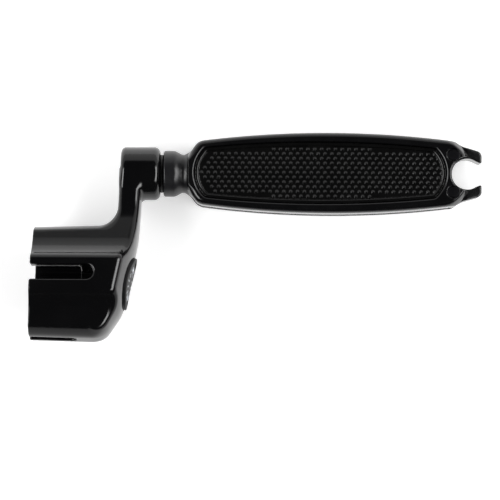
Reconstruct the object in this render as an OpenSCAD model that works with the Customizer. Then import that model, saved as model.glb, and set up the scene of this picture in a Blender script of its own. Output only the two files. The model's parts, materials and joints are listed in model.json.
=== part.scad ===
// String winder: a crank with a peg head, turning on a two-shell handle with a bridge pin puller.
// Working frame: X along the swivel axis, X = 0 on the hub's inner face, +Z up.
// The crank is drawn level and then tipped about the swivel axis until its head rests.

/* [Handle] */
// Length of the two handle shells
handle_l = 85.1; // [78:0.1:100]
// Widest width of the handle, at the seam
handle_w = 24.4; // [22:0.1:30]
// Width of the handle where its ends begin
handle_end_w = 18.1; // [17:0.1:20]
// Thickness of the handle over both shells
handle_t = 16.5; // [16:0.1:20]
// Radius of the swivel end, seen from above
front_arc_r = 40; // [25:1:80]
// Rounding of the swivel end's corners, seen from above
front_corner_r = 5.5; // [3:0.1:6]
// Radius of the puller end, seen from above
rear_arc_r = 11.7; // [11:0.1:14]
// Rounding of the puller end's corners, seen from above
rear_corner_r = 2; // [1.9:0.1:3]
// Rounding of the long outer edges
shell_edge_r = 1; // [0.5:0.1:1.2]
// How far each side wall leans in, from the seam to the edge
shell_draft = 0.4; // [0:0.1:0.6]
// Side wall of a shell
shell_wall = 2.4; // [1.6:0.1:3]
// Floor between a grip pad and the hollow of its shell
shell_floor = 1.6; // [1:0.1:2]
// Solid block at the swivel end that holds the bush
front_block_l = 7; // [6:0.1:9]

/* [Grip pads] */
// Border between the swivel end and the pad
pad_start = 1.65; // [1.6:0.05:4]
// Border between the puller end and the pad
pad_stop = 7.55; // [7.3:0.05:12]
// Border beside the pad, at the handle's widest place
border_w = 3; // [2.6:0.1:4.5]
// Border beside the pad where its ends begin
border_end_w = 1.95; // [1.9:0.05:3.5]
// Radius of the pad's end at the swivel, seen from above
pad_front_r = 14; // [10:0.1:18]
// Radius of the pad's end at the puller, seen from above
pad_rear_r = 11.3; // [9.5:0.1:14]
// Depth of the recess that the pad sits in
pad_recess = 2; // [1.4:0.1:2.4]
// How far the pad's rim lies below the border
pad_sink = 0.6; // [0.2:0.1:0.9]
// Width of the pad's plain rim
pad_rim_w = 1.3; // [0.8:0.1:2]
// How far the pad's field lies below its rim
pad_field_drop = 0.4; // [0.2:0.1:0.5]

/* [Puller fork] */
// Radius of the bridge pin notch
notch_r = 4.6; // [3.5:0.1:4.8]
// Width of the way into the notch, between the prongs
notch_opening = 6.5; // [4.5:0.1:7]
// Centre of the notch, back from the end of the shells
notch_inset = 1.75; // [1:0.05:2.2]
// How far the prongs reach past the end of the shells
fork_reach = 2.6; // [2.2:0.1:4]
// Thickness of the fork
fork_t = 10; // [6:0.1:10.5]
// Thickness of the prongs at their tips
prong_tip_t = 7.6; // [4:0.1:10]
// Width over the prongs beside the notch
prong_root_w = 15.6; // [14:0.1:16.4]
// Width over the prong tips
prong_tip_w = 13.2; // [11:0.1:13.8]
// Rounding of the prong tips
prong_tip_r = 1.3; // [0.5:0.1:1.6]
// Width of the fork's tail inside the shells
fork_tail_w = 13; // [11.5:0.1:13.4]
// Length of the fork's tail behind its pins
fork_tail_l = 7; // [4:0.1:10]
// From the pins to the shoulder where the fork widens
fork_shoulder = 1; // [0:0.1:2]
// Diameter of a fork pin
fork_pin_d = 3.6; // [3:0.1:3.8]
// Distance between the fork pins
fork_pin_pitch = 11.1; // [10.6:0.1:12]
// From the fork pins to the notch's centre
fork_pin_back = 4.4; // [4.2:0.1:6]
// How far the pin ends lie below the shells' faces
fork_pin_sink = 0.2; // [0:0.1:1]

/* [Swivel] */
// Diameter of the axle
axle_d = 5; // [4:0.1:6]
// Depth of the axle in the hub
axle_grip = 9.5; // [7:0.1:10.5]
// Diameter of the collar
collar_d = 13.8; // [12.6:0.1:15]
// Length of the collar up to its waist
collar_l = 6.4; // [4:0.1:7]
// Diameter of the neck's waist
neck_d = 11.4; // [11:0.1:12.4]
// Length of the flare from the waist to the shells
neck_flare_l = 1.05; // [0.6:0.05:2]
// Growth of the neck's radius at the shells
neck_flare = 0.5; // [0.1:0.05:0.6]
// Rounding of the collar's open edge
collar_edge_r = 0.6; // [0.2:0.1:1]
// Diameter of the bush inside the shells
bush_d = 9.6; // [8:0.1:10.4]
// Diameter of the flange that holds the bush in the shells
flange_d = 12.4; // [11.2:0.1:12.6]
// Thickness of the flange
flange_t = 2; // [1.2:0.1:2.6]
// From the end of the shells to the flange
flange_back = 2.6; // [2.2:0.1:3.2]
// How far the bush stands out of the front block, into the hollow
bush_end_l = 0.8; // [0.4:0.1:2]
// Thickness of the thrust washer
thrust_washer_t = 0.85; // [0.5:0.05:1.5]
// Diameter of the thrust washer
thrust_washer_d = 10.6; // [8:0.1:12]
// Thickness of the retainer washer
retainer_washer_t = 0.7; // [0.5:0.05:1]
// Diameter of the retainer washer
retainer_washer_d = 8.6; // [7:0.1:9]
// Thickness of the retaining clip
clip_t = 0.8; // [0.5:0.05:1.2]
// Diameter of the retaining clip
clip_d = 8.4; // [7:0.1:9]
// Depth of the clip's groove in the axle
clip_groove = 0.5; // [0.3:0.05:0.8]
// Axle left past its groove
axle_end_l = 1.4; // [0.8:0.1:2]

/* [Shell screws] */
// Diameter of a screw's shank
screw_d = 2.6; // [2:0.1:3]
// Diameter of a screw's head
screw_head_d = 5; // [4:0.1:5.4]
// Height of a screw's head
screw_head_h = 1.8; // [1:0.1:2]
// Length of the shank in the upper boss
screw_bite = 3.6; // [2.5:0.1:3.8]
// Outer diameter of a screw boss
boss_d = 7.4; // [6.6:0.1:9]
// From the ends of the hollow to the outer screws
screw_inset = 11; // [9:0.1:16]

/* [Crank] */
// From the swivel axis to the middle of the peg head
crank_offset = 34.15; // [31:0.05:42]
// Diameter of the hub
hub_d = 16; // [13:0.1:16.4]
// Length of the hub
hub_l = 11.8; // [11.4:0.1:14]
// Rounding of the hub's edges
hub_edge_r = 1; // [0.4:0.1:1.4]
// Thickness of the arm
arm_t = 14.4; // [9:0.1:14.6]
// How far the arm leans outwards on its way to the head
arm_flare = 0.6; // [0:0.1:1.5]
// Slant of the arm's back
arm_slant = 6.5; // [4:0.5:8]
// Fillet between the arm and the head
arm_fillet_r = 4.2; // [2:0.1:6]

/* [Peg head] */
// Length of the head, from its mouth to its back
head_l = 28.85; // [27:0.05:36]
// Width of the head
head_w = 33.2; // [32:0.1:38]
// Thickness of the head over its raised panels
head_t = 29; // [26:0.1:32]
// Thickness of the head beside its raised panels
shoulder_t = 14.6; // [14:0.1:16]
// Width of a raised panel
panel_w = 11.6; // [11:0.1:13.5]
// Radius of the cove beside a raised panel
cove_r = 6.2; // [5:0.1:6.6]
// Rounding of a raised panel's edges
panel_edge_r = 0.6; // [0.2:0.1:1]
// From the hub's inner face to the head's back
back_setback = 8.9; // [7.5:0.1:10]
// Slant of the head's back
back_slant = 11.5; // [9:0.5:13]
// From the middle of the head up to where its back turns into the arm's back
back_knee = 8; // [4:0.1:10]
// Radius of the domed back, seen along the arm
back_dome_r = 29; // [22:0.5:60]
// Rounding of the back's outer corner
back_corner_r = 14.5; // [9:0.1:15]
// Slant of the mouth
mouth_slant = 2; // [0:0.5:4]

/* [Peg socket] */
// Depth of the socket
socket_depth = 14.7; // [12:0.1:16]
// Width of the socket, across the head
socket_w = 27; // [22:0.1:28]
// Height of the socket beside the raised panels
socket_t = 10.4; // [8:0.1:11]
// Wall of the raised panels around the socket
panel_wall = 2.3; // [1.6:0.1:2.6]
// Rounding of the socket's corners
socket_corner_r = 3; // [1:0.1:4]
// Width of the slots in the raised panels
slot_w = 4.5; // [4.2:0.1:6]
// Length of the slots in the raised panels
slot_l = 20; // [17.5:0.1:22]
// Width of the slots in the head's sides
side_slot_w = 4.2; // [2:0.1:5]
// Length of the slots in the head's sides
side_slot_l = 13.4; // [8:0.1:14.5]
// Rounding of the slots' corners at the mouth
slot_lip_r = 1.1; // [0.4:0.1:1.5]

/* [Badge] */
// Diameter of the badge
badge_d = 15.7; // [12:0.1:18]
// Thickness of the badge
badge_t = 2.2; // [2:0.1:4]
// Depth of the badge's seat in the domed back
badge_seat = 1.5; // [1.4:0.1:2]
// Width of the badge's raised rim
badge_rim_w = 1.2; // [0.6:0.1:2]
// Depth of the badge's face below its rim
badge_dish = 0.4; // [0.2:0.1:0.8]

/* [Clearances] */
// Radial running clearance of the axle in the bush
running_clearance = 0.05; // [0.02:0.01:0.1]
// End play of the swivel at each washer
end_play = 0.1; // [0.05:0.01:0.2]
// Clearance around pieces that sit still in a seat
seat_clearance = 0.05; // [0.02:0.01:0.1]

/* [Hidden] */

round_fn = 96;
barrel_fn = 240;
arc_steps = 8;
layer_t = 0.01;
// Spare length that makes a cut run past the face it opens
past = 1;

// Places along X
collar_x = thrust_washer_t + end_play;
handle_x = collar_x + collar_l + neck_flare_l;
shell_end_x = handle_x + handle_l;
hollow_x = handle_x + front_block_l;
notch_x = shell_end_x - notch_inset;
tip_x = shell_end_x + fork_reach;
fork_pin_x = notch_x - fork_pin_back;
fork_shoulder_x = fork_pin_x - fork_shoulder;
fork_tail_x = fork_pin_x - fork_tail_l;
hollow_end_x = fork_tail_x - shell_wall;
screw_xs = [hollow_x + screw_inset, (hollow_x + hollow_end_x) / 2, hollow_end_x - screw_inset];
pad_x = handle_x + pad_start;
pad_end_x = shell_end_x - pad_stop;
bush_end_x = hollow_x + bush_end_l;
retainer_x = bush_end_x + end_play;
clip_x = retainer_x + retainer_washer_t;
axle_end_x = clip_x + clip_t + axle_end_l;
back_x = -back_setback;
mouth_x = back_x - head_l;
lip_x = mouth_x - head_w / 2 * tan(mouth_slant);

// Heights from the swivel axis
half_t = handle_t / 2;
pad_base_z = half_t - pad_recess;
ceiling_z = pad_base_z - shell_floor;

// Half sizes of the head
head_half_w = head_w / 2;
head_half_t = head_t / 2;
shoulder_z = shoulder_t / 2;
panel_half = panel_w / 2;
side_r = head_half_w - panel_half - cove_r;
panel_core_half = panel_half - panel_wall;
// How much of a quarter turn the cove takes up
cove_turn = 85;

// The crank tips until the lower panel's edge is level with the underside of the handle
ridge_y = crank_offset - panel_half + panel_edge_r;
ridge_z = head_half_t - panel_edge_r;
rest_tilt = acos((half_t - panel_edge_r) / norm([ridge_y, ridge_z])) - atan2(ridge_y, ridge_z);

// The origin is under the middle of everything, where the winder rests
head_low_y = min([for (p = head_outline()) (p.x - crank_offset) * cos(rest_tilt) + p.y * sin(rest_tilt)]);
origin_x = (lip_x + tip_x) / 2;
origin_y = (head_low_y + handle_w / 2) / 2;

module place() {
    translate([-origin_x, -origin_y, half_t]) children();
}

module place_crank() {
    place() rotate([-rest_tilt, 0, 0]) children();
}

// Points of an arc about (x, y), from one angle to another, with some left out at its end
function arc(x, y, r, from, to, steps = arc_steps, skip = 0) =
    [for (i = [0 : steps - skip]) let (a = from + (to - from) * i / steps) [x + r * cos(a), y + r * sin(a)]];

function backwards(points) = [for (i = [len(points) - 1 : -1 : 0]) points[i]];

// Turns an outline of (radius, X) about the swivel axis
module turned() {
    rotate([0, 90, 0]) rotate_extrude($fn = round_fn) children();
}

// A plain cylinder along X, from one X to another
module x_cylinder(d, from, to) {
    translate([from, 0, 0]) rotate([0, 90, 0]) cylinder(d = d, h = to - from, $fn = round_fn);
}

// Outline with bowed sides, as wide as half_w in the middle and half_end at both ends
module bowed(half_w, half_end, from, to, inset) {
    half_l = (to - from) / 2;
    bow = half_w - half_end;
    r = (half_l * half_l + bow * bow) / (2 * bow);
    intersection_for (side = [-1, 1])
        translate([from + half_l, side * (half_w - r)]) circle(r - inset, $fn = barrel_fn);
}

// Where two circles cross, on one side of the line between their middles
function crossing(a, ra, b, rb, side) =
    let (d = norm(b - a), e = (b - a) / d, along = (ra * ra - rb * rb + d * d) / (2 * d))
    a + along * e + side * sqrt(ra * ra - along * along) * [-e.y, e.x];

function angle(v) = atan2(v.y, v.x);

// Half of the handle seen from above, from the puller to the swivel: arcs that run into each other
function handle_half(inset) =
    let (
        half_l = handle_l / 2,
        bow = (handle_w - handle_end_w) / 2,
        bow_r = (half_l * half_l + bow * bow) / (2 * bow),
        side = [handle_x + half_l, handle_w / 2 - bow_r],
        rear = [shell_end_x - rear_arc_r, 0],
        front = [handle_x + front_arc_r, 0],
        rear_corner = crossing(rear, rear_arc_r - rear_corner_r, side, bow_r - rear_corner_r, 1),
        front_corner = crossing(front, front_arc_r - front_corner_r, side, bow_r - front_corner_r, -1),
        turns = [
            0, angle(rear_corner - rear), angle(rear_corner - side),
            angle(front_corner - side), angle(front_corner - front), 180
        ]
    )
    concat(
        arc(rear.x, rear.y, rear_arc_r - inset, turns[0], turns[1], skip = 1),
        arc(rear_corner.x, rear_corner.y, rear_corner_r - inset, turns[1], turns[2], skip = 1),
        arc(side.x, side.y, bow_r - inset, turns[2], turns[3], 2 * arc_steps, skip = 1),
        arc(front_corner.x, front_corner.y, front_corner_r - inset, turns[3], turns[4], skip = 1),
        arc(front.x, front.y, front_arc_r - inset, turns[4], turns[5])
    );

module handle_plan(inset) {
    half = handle_half(inset);
    lower_half = [for (i = [len(half) - 2 : -1 : 1]) [half[i].x, -half[i].y]];
    polygon(concat(half, lower_half));
}

// Upper half of the handle's outside, from the seam up
module shell_outside() {
    edge_z = half_t - shell_edge_r;
    hull() {
        linear_extrude(layer_t) handle_plan(0);
        for (i = [0 : 4]) {
            a = 90 * i / 4;
            translate([0, 0, edge_z + shell_edge_r * sin(a) - layer_t])
                linear_extrude(layer_t) handle_plan(shell_draft + shell_edge_r * (1 - cos(a)));
        }
    }
}

// Grip pad seen from above
module pad_plan(inset) {
    half_w = handle_w / 2 - border_w;
    half_end = handle_end_w / 2 - border_end_w;
    straight_l = pad_end_x - pad_x - pad_front_r - pad_rear_r;
    intersection() {
        bowed(half_w, half_end, pad_x, pad_end_x, inset);
        union() {
            translate([pad_x + pad_front_r, -handle_w]) square([straight_l, 2 * handle_w]);
            translate([pad_x + pad_front_r, 0]) circle(pad_front_r - inset, $fn = round_fn);
            translate([pad_end_x - pad_rear_r, 0]) circle(pad_rear_r - inset, $fn = round_fn);
        }
    }
}

// Hollow of a shell, above the seam
module shell_hollow() {
    inset = shell_wall + shell_draft;
    translate([0, 0, -past]) linear_extrude(ceiling_z + past) intersection() {
        bowed(handle_w / 2, handle_end_w / 2, handle_x, shell_end_x, inset);
        translate([hollow_x, -handle_w]) square([hollow_end_x - hollow_x, 2 * handle_w]);
    }
}

// Fork seen from above: a tail in the shells, cheeks in line with their sides, and two prongs
module fork_plan() {
    tail = fork_tail_w / 2;
    root = prong_root_w / 2;
    taper = atan((prong_root_w - prong_tip_w) / 2 / (tip_x - notch_x));
    side = backwards(handle_half(shell_draft / 2));
    cheek = [for (p = side) if (p.x > fork_shoulder_x && p.y > root) p];
    outline = concat(
        [[fork_tail_x, tail], [fork_shoulder_x, tail], [fork_shoulder_x, cheek[0].y]],
        cheek,
        [[notch_x, root]],
        arc(tip_x - prong_tip_r, prong_tip_w / 2 - prong_tip_r, prong_tip_r, 90 - taper, 0)
    );
    polygon(concat(outline, backwards([for (p = outline) [p.x, -p.y]])));
}

// Seats that both shells have, above the seam
module shell_seats() {
    bush_seat_d = bush_d + 2 * seat_clearance;
    x_cylinder(bush_seat_d, handle_x - past, hollow_x + past);
    x_cylinder(
        flange_d + 2 * seat_clearance,
        handle_x + flange_back - seat_clearance,
        handle_x + flange_back + flange_t + seat_clearance
    );
    fork_seat_h = fork_t / 2 + seat_clearance + past;
    fork_seat_w = fork_tail_w + 2 * seat_clearance;
    translate([fork_tail_x - seat_clearance, -fork_seat_w / 2, -past])
        cube([fork_tail_l, fork_seat_w, fork_seat_h]);
    translate([fork_shoulder_x - seat_clearance, -handle_w, -past])
        cube([handle_l, 2 * handle_w, fork_seat_h]);
    for (side = [-1, 1])
        translate([fork_pin_x, side * fork_pin_pitch / 2, -past])
            cylinder(d = fork_pin_d + 2 * seat_clearance, h = handle_t, $fn = round_fn);
    translate([notch_x, 0, -past]) cylinder(r = notch_r, h = handle_t, $fn = round_fn);
    translate([0, 0, pad_base_z]) linear_extrude(pad_recess + past) pad_plan(0);
}

// One half of the handle above the seam, with a boss at each screw
module half_shell() {
    difference() {
        union() {
            difference() {
                shell_outside();
                shell_hollow();
            }
            for (x = screw_xs)
                translate([x, 0, 0]) cylinder(d = boss_d, h = ceiling_z + shell_floor / 2, $fn = round_fn);
        }
        shell_seats();
    }
}

module upper_shell() {
    color("#161617") place() difference() {
        half_shell();
        for (x = screw_xs)
            translate([x, 0, -past]) cylinder(d = screw_d, h = screw_bite + past, $fn = round_fn);
    }
}

module lower_shell() {
    head_z = pad_base_z - screw_head_h;
    color("#161617") place() rotate([180, 0, 0]) difference() {
        half_shell();
        for (x = screw_xs)
            translate([x, 0, 0]) {
                translate([0, 0, -past])
                    cylinder(d = screw_d + 2 * seat_clearance, h = handle_t, $fn = round_fn);
                translate([0, 0, head_z])
                    cylinder(d = screw_head_d + 2 * seat_clearance, h = handle_t, $fn = round_fn);
            }
    }
}

// A pad with a plain rim around a lower field
module grip_pad() {
    rim_z = half_t - pad_sink;
    difference() {
        translate([0, 0, pad_base_z]) linear_extrude(rim_z - pad_base_z) pad_plan(seat_clearance);
        translate([0, 0, rim_z - pad_field_drop]) linear_extrude(pad_recess) pad_plan(pad_rim_w);
    }
}

module upper_grip_pad() {
    color("#232325") place() grip_pad();
}

module lower_grip_pad() {
    color("#232325") place() rotate([180, 0, 0]) grip_pad();
}

// Plate with two prongs that thin towards their tips
module puller_fork() {
    root_z = fork_t / 2;
    tip_z = prong_tip_t / 2;
    side_outline = [
        [fork_tail_x, -root_z], [notch_x, -root_z], [tip_x, -tip_z],
        [tip_x, tip_z], [notch_x, root_z], [fork_tail_x, root_z]
    ];
    color("#18181a") place() difference() {
        intersection() {
            translate([0, 0, -fork_t]) linear_extrude(2 * fork_t) fork_plan();
            translate([0, handle_w, 0]) rotate([90, 0, 0]) linear_extrude(2 * handle_w) polygon(side_outline);
        }
        translate([notch_x, 0, -fork_t]) cylinder(r = notch_r, h = 2 * fork_t, $fn = round_fn);
        translate([notch_x, -notch_opening / 2, -fork_t])
            cube([tip_x - notch_x + past, notch_opening, 2 * fork_t]);
        for (side = [-1, 1])
            translate([fork_pin_x, side * fork_pin_pitch / 2, -fork_t])
                cylinder(d = fork_pin_d + 2 * seat_clearance, h = 2 * fork_t, $fn = round_fn);
    }
}

// Straight pin through both shells and the fork
module fork_pin(side) {
    pin_l = handle_t - 2 * fork_pin_sink;
    color("#202022") place()
        translate([fork_pin_x, side * fork_pin_pitch / 2, -pin_l / 2])
            cylinder(d = fork_pin_d, h = pin_l, $fn = round_fn);
}

// Pan head screw, driven up from under the lower pad
module shell_screw(x) {
    head_z = pad_base_z - screw_head_h;
    drive = screw_head_d / 5;
    color("silver") place() translate([x, 0, 0]) {
        translate([0, 0, -head_z]) cylinder(d = screw_d, h = head_z + screw_bite, $fn = round_fn);
        difference() {
            translate([0, 0, -pad_base_z]) cylinder(d = screw_head_d, h = screw_head_h, $fn = round_fn);
            for (turn = [0, 90])
                rotate([0, 0, turn]) translate([0, 0, -pad_base_z])
                    cube([3 * drive, drive, screw_head_h], center = true);
        }
    }
}

// Collar, waisted neck and flanged bush in one turned piece
module swivel_bush() {
    collar_r = collar_d / 2;
    neck_r = neck_d / 2;
    waist_x = collar_x + collar_l;
    shoulder_x = collar_x + collar_l / 2;
    flange_x = handle_x + flange_back;
    neck = [
        for (i = [1 : arc_steps]) let (t = i / arc_steps)
            [neck_r + (collar_r - neck_r) * (1 + cos(180 * t)) / 2, shoulder_x + (waist_x - shoulder_x) * t]
    ];
    outline = concat(
        [[axle_d / 2 + running_clearance, collar_x]],
        arc(collar_r - collar_edge_r, collar_x + collar_edge_r, collar_edge_r, -90, 0),
        [[collar_r, shoulder_x]],
        neck,
        [
            [neck_r + neck_flare, handle_x], [bush_d / 2, handle_x],
            [bush_d / 2, flange_x], [flange_d / 2, flange_x],
            [flange_d / 2, flange_x + flange_t], [bush_d / 2, flange_x + flange_t],
            [bush_d / 2, bush_end_x], [axle_d / 2 + running_clearance, bush_end_x]
        ]
    );
    color("#2b2b2e") place() turned() polygon(outline);
}

// Steel pin pressed into the hub, grooved for the clip
module axle_pin() {
    axle_r = axle_d / 2;
    groove_r = axle_r - clip_groove;
    bevel = clip_groove;
    outline = [
        [0, -axle_grip], [axle_r - bevel, -axle_grip], [axle_r, bevel - axle_grip],
        [axle_r, clip_x], [groove_r, clip_x],
        [groove_r, clip_x + clip_t], [axle_r, clip_x + clip_t],
        [axle_r, axle_end_x - bevel], [axle_r - bevel, axle_end_x], [0, axle_end_x]
    ];
    color("silver") place_crank() turned() polygon(outline);
}

module washer(d, from, t) {
    difference() {
        x_cylinder(d, from, from + t);
        x_cylinder(axle_d + 2 * seat_clearance, from - past, from + t + past);
    }
}

module thrust_washer() {
    color("#111112") place_crank() washer(thrust_washer_d, 0, thrust_washer_t);
}

module retainer_washer() {
    color("silver") place_crank() washer(retainer_washer_d, retainer_x, retainer_washer_t);
}

// Open ring that snaps into the axle's groove
module retaining_clip() {
    gap = axle_d - 2 * clip_groove;
    color("dimgray") place_crank() difference() {
        x_cylinder(clip_d, clip_x, clip_x + clip_t);
        x_cylinder(axle_d - 2 * clip_groove, clip_x - past, clip_x + clip_t + past);
        translate([clip_x - past, -clip_d, -gap / 2]) cube([clip_t + 2 * past, clip_d, gap]);
    }
}

// A quarter of the head's section: round side, cove, raised panel
function head_quarter() = concat(
    arc(head_half_w - side_r, shoulder_z - side_r, side_r, 0, 90),
    arc(panel_half + cove_r, shoulder_z + cove_r, cove_r, 180 + cove_turn, 180),
    arc(panel_half - panel_edge_r, head_half_t - panel_edge_r, panel_edge_r, 0, 90)
);

function head_outline() = let (q = head_quarter()) concat(
    q,
    backwards([for (p = q) [-p.x, p.y]]),
    [for (p = q) [-p.x, -p.y]],
    backwards([for (p = q) [p.x, -p.y]])
);

// Runs an outline of (Y, Z), centred on the head, from one X to another
module along_head(from, to) {
    translate([from, -crank_offset, 0]) rotate([90, 0, 90]) linear_extrude(to - from) children();
}

// Everything on the head's side of the domed back, one level of it
module back_plan(inset) {
    low_y = -crank_offset - head_half_w;
    high_y = hub_d;
    head_out = [cos(back_slant), -sin(back_slant)];
    arm_out = [cos(arm_slant), -sin(arm_slant)];
    corner_y = low_y + back_corner_r;
    corner_x = back_x + ((corner_y + crank_offset) * sin(back_slant) - back_corner_r) / cos(back_slant);
    knee = [back_x + back_knee * tan(back_slant), back_knee - crank_offset]
        - inset * (head_out + arm_out) / (1 + head_out * arm_out);
    high_x = knee.x + (high_y - knee.y) * tan(arm_slant);
    polygon(concat(
        [[high_x, high_y], [lip_x - past, high_y], [lip_x - past, low_y]],
        arc(corner_x, corner_y, back_corner_r - inset, -90, -back_slant),
        [knee]
    ));
}

// The domed back as a stack of levels, the middle one reaching furthest
module back_envelope() {
    levels = 8;
    hull() for (i = [-levels : levels]) {
        z = i * (head_half_t + layer_t) / levels;
        translate([0, 0, z])
            linear_extrude(layer_t) back_plan(back_dome_r - sqrt(back_dome_r * back_dome_r - z * z));
    }
}

// One level of the arm, with a fillet that ends on the head at the given Y
module arm_level(half_h, end_y) {
    lean = atan(arm_flare / (crank_offset - head_half_w));
    face_x = hub_edge_r / 2 - hub_l;
    fillet_y = end_y + arm_fillet_r;
    fillet_x = face_x + fillet_y * tan(lean) - arm_fillet_r / cos(lean);
    outline = concat(
        [[-hub_edge_r, 0], [face_x, 0]],
        arc(fillet_x, fillet_y, arm_fillet_r, -lean, -90),
        [[fillet_x, -crank_offset], [-hub_edge_r, -crank_offset]]
    );
    translate([0, 0, -half_h]) linear_extrude(2 * half_h) polygon(outline);
}

// Arm from the hub down into the head, its fillet stepping down the head's round side
module arm_blank() {
    sunk = 0.1;
    top_y = head_half_w - side_r - crank_offset - sunk;
    for (turn = [0, 30, 60])
        arm_level(shoulder_z - side_r + side_r * sin(turn), top_y + side_r * cos(turn));
    arm_level(arm_t / 2, top_y);
}

module hub_blank() {
    hub_r = hub_d / 2;
    outline = concat(
        [[0, -hub_l]],
        arc(hub_r - hub_edge_r, hub_edge_r - hub_l, hub_edge_r, -90, 0),
        arc(hub_r - hub_edge_r, -hub_edge_r, hub_edge_r, 0, 90),
        [[0, 0]]
    );
    turned() polygon(outline);
}

// A slot from the mouth inwards, with a round end and eased corners at the mouth
module slot_plan(w, l) {
    half = w / 2;
    lip = slot_lip_r;
    upper = concat(
        [[lip_x - past, half + lip], [mouth_x, half + lip]],
        arc(mouth_x + lip, half + lip, lip, 180, 270),
        arc(mouth_x + l - half, 0, half, 90, 0)
    );
    polygon(concat(upper, backwards([for (p = upper) [p.x, -p.y]])));
}

// Rectangle with rounded corners, centred
module soft_rectangle(w, h, r) {
    polygon(concat(
        arc(w / 2 - r, h / 2 - r, r, 0, 90), arc(r - w / 2, h / 2 - r, r, 90, 180),
        arc(r - w / 2, r - h / 2, r, 180, 270), arc(w / 2 - r, r - h / 2, r, 270, 360)
    ));
}

// Cross-shaped socket for tuner buttons, with its four slots
module socket_cut() {
    along_head(lip_x - past, mouth_x + socket_depth) {
        soft_rectangle(socket_w, socket_t, socket_corner_r);
        square([2 * panel_core_half, head_t - 2 * panel_wall], center = true);
    }
    translate([0, -crank_offset, -head_t]) linear_extrude(2 * head_t) slot_plan(slot_w, slot_l);
    translate([0, head_w - crank_offset, 0]) rotate([90, 0, 0])
        linear_extrude(2 * head_w) slot_plan(side_slot_w, side_slot_l);
}

// Puts a badge outline of (radius, height) on the slanted back, height 0 at the dome's top
module on_back() {
    translate([back_x, -crank_offset, 0]) rotate([0, 0, -back_slant])
        rotate([0, 90, 0]) rotate_extrude($fn = round_fn) children();
}

// Everything in front of the slanted mouth
module mouth_cut() {
    translate([mouth_x, -crank_offset, 0]) rotate([0, 0, -mouth_slant])
        translate([-head_l, -head_w, -head_t]) cube([head_l, 2 * head_w, 2 * head_t]);
}

// Peg head, arm and hub in one moulding
module crank() {
    color("#0e0e0f") place_crank() difference() {
        union() {
            intersection() {
                union() {
                    along_head(lip_x, 0) polygon(head_outline());
                    arm_blank();
                }
                back_envelope();
            }
            hub_blank();
        }
        mouth_cut();
        socket_cut();
        on_back() translate([0, -badge_seat]) square([badge_d / 2 + seat_clearance, 2 * badge_t]);
        x_cylinder(axle_d, -axle_grip, past);
    }
}

// Round badge with a raised rim and a bare face
module head_badge() {
    badge_r = badge_d / 2;
    top = badge_t - badge_seat;
    outline = [
        [0, -badge_seat], [badge_r, -badge_seat], [badge_r, top],
        [badge_r - badge_rim_w, top], [badge_r - badge_rim_w, top - badge_dish], [0, top - badge_dish]
    ];
    color("#1d1d1f") place_crank() on_back() polygon(outline);
}

crank();
head_badge();
axle_pin();
thrust_washer();
retainer_washer();
retaining_clip();
swivel_bush();
upper_shell();
lower_shell();
upper_grip_pad();
lower_grip_pad();
puller_fork();
fork_pin(1);  // fork_pin_left
fork_pin(-1);  // fork_pin_right
shell_screw(screw_xs[0]);  // shell_screw_front
shell_screw(screw_xs[1]);  // shell_screw_middle
shell_screw(screw_xs[2]);  // shell_screw_rear
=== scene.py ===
# %% [markdown]
# # A string winder
#
# The winder has two bodies: a crank with a slotted head that fits over a tuning peg, and a
# handle that spins on the crank's axle. Almost all of it is black, so the eye reads it by its
# edges and by what the gloss reflects. This lesson gives each moulding its real roundings and
# then sets up light that those roundings can catch. The first cell loads the imported model and
# its record, and gives a helper for the box of each part.

# %% Load the frame
import json
import math
import bpy
import numpy as np
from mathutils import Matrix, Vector


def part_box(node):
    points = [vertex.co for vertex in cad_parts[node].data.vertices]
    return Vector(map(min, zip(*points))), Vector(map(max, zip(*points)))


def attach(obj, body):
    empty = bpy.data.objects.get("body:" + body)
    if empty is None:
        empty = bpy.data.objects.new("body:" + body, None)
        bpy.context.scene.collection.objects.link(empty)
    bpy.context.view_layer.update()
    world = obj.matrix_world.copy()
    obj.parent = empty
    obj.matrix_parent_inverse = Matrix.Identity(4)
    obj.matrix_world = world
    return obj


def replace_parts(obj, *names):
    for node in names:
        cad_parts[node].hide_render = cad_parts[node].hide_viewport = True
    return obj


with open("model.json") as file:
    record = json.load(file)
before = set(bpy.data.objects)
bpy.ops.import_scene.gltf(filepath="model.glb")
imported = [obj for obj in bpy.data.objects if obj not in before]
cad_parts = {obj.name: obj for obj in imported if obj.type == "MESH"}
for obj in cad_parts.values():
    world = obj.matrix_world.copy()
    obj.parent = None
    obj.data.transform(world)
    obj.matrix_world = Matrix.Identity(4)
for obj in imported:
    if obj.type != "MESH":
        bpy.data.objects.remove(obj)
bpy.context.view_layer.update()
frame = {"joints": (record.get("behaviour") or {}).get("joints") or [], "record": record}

# %% [markdown]
# ## Where things are
#
# All shapes below are written in millimetres from the middle of the swivel, with X along the
# axle, because that is how a drawing of the winder would give them. The model itself is in
# metres and stands on the floor. The joint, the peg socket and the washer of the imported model
# say where the swivel is, how long the crank's arm is, and how far the crank is tipped at rest.

# %% Places in the frame
MM = 0.001
swivel_y, swivel_z = [c / MM for c in frame["joints"][0]["pos_m"]][1:]
mounts = {mount["name"]: mount for mount in frame["record"]["mounts"]}
socket_x, socket_y, socket_z = [c / MM for c in mounts["peg_socket"]["pos_m"]]
hub_face_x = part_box("thrust_washer")[0].x / MM
mouth_x = socket_x - hub_face_x
crank_offset = math.hypot(swivel_y - socket_y, socket_z - swivel_z)
rest_tilt = math.atan2(socket_z - swivel_z, swivel_y - socket_y)


def handle_place(points):
    """Millimetres from the swivel to metres in the frame."""
    return (np.asarray(points) + (hub_face_x, swivel_y, swivel_z)) * MM


def crank_place(points):
    """The same for the crank, which is tipped about the axle."""
    x, y, z = np.asarray(points).T
    c, s = math.cos(rest_tilt), math.sin(rest_tilt)
    return handle_place(np.column_stack((x, y * c + z * s, z * c - y * s)))


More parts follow.
